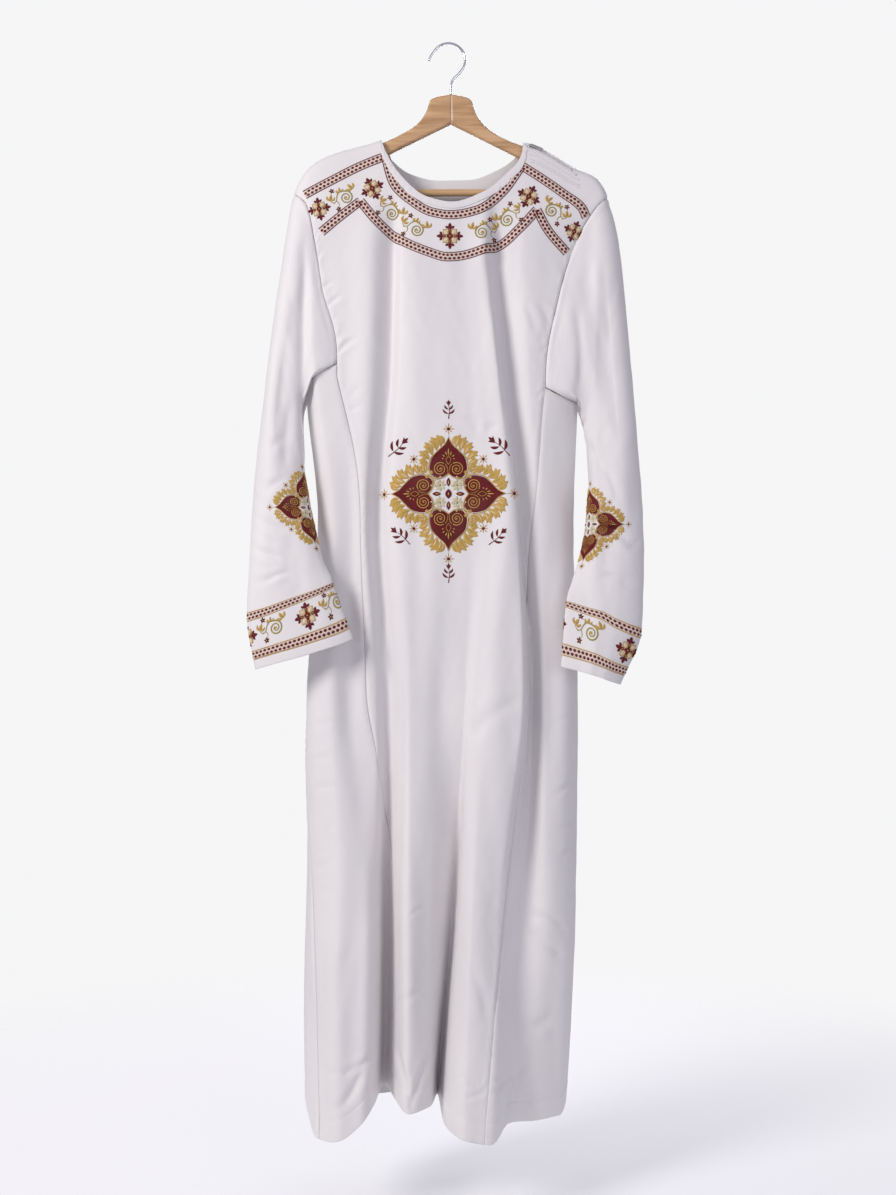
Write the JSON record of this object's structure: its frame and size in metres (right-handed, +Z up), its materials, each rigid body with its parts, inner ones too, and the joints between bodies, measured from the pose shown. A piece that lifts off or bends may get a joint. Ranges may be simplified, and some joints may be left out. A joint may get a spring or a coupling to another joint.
{
  "type": "coptic deacon tunic on a wooden hanger",
  "caption": "Long white deacon's tunic with wide sleeves, side gores and a zipped shoulder, hanging open at neck, cuffs and hem on a wooden hanger with a wire hook.",
  "frame": {"origin": "inner top of the hook's bow, where it bears on a rail", "axes": "+Z up, the tunic's front faces -Y, the wearer's right side is at -X"},
  "size_m": [0.5823, 0.2039, 1.6258],
  "materials": {
    "cloth": "white satin-weave cloth with a soft sheen; burgundy, gold and cream embroidery is added in the visual model",
    "wood": "clear-lacquered beech",
    "chrome": "bright chrome-plated wire",
    "nickel": "nickel-plated zip metal"
  },
  "bodies": {
    "garment": {"front_panel_chest": "cloth", "front_panel_waist": "cloth", "front_panel_hem": "cloth", "back_panel_chest": "cloth", "back_panel_waist": "cloth", "back_panel_hem": "cloth", "side_gore_right": "cloth", "side_gore_left": "cloth", "sleeve_right_upper": "cloth", "sleeve_right_cuff": "cloth", "sleeve_left_upper": "cloth", "sleeve_left_cuff": "cloth", "neck_band_front": "cloth", "neck_band_back": "cloth", "zip_tape": "cloth", "zip_slider": "nickel", "hanger_arm_right": "wood", "hanger_arm_left": "wood", "trouser_bar": "wood", "hook": "chrome"},
    "zip_pull": {"zip_pull": "nickel"}
  },
  "joints": [
    {"name": "zip_pull", "type": "hinge", "parent": "garment", "child": "zip_pull", "pos_m": [0.12211, -0.01573, -0.15412], "axis": [-0.3196, -0.5573, -0.7663], "range_deg": [0, 150]}
  ]
}
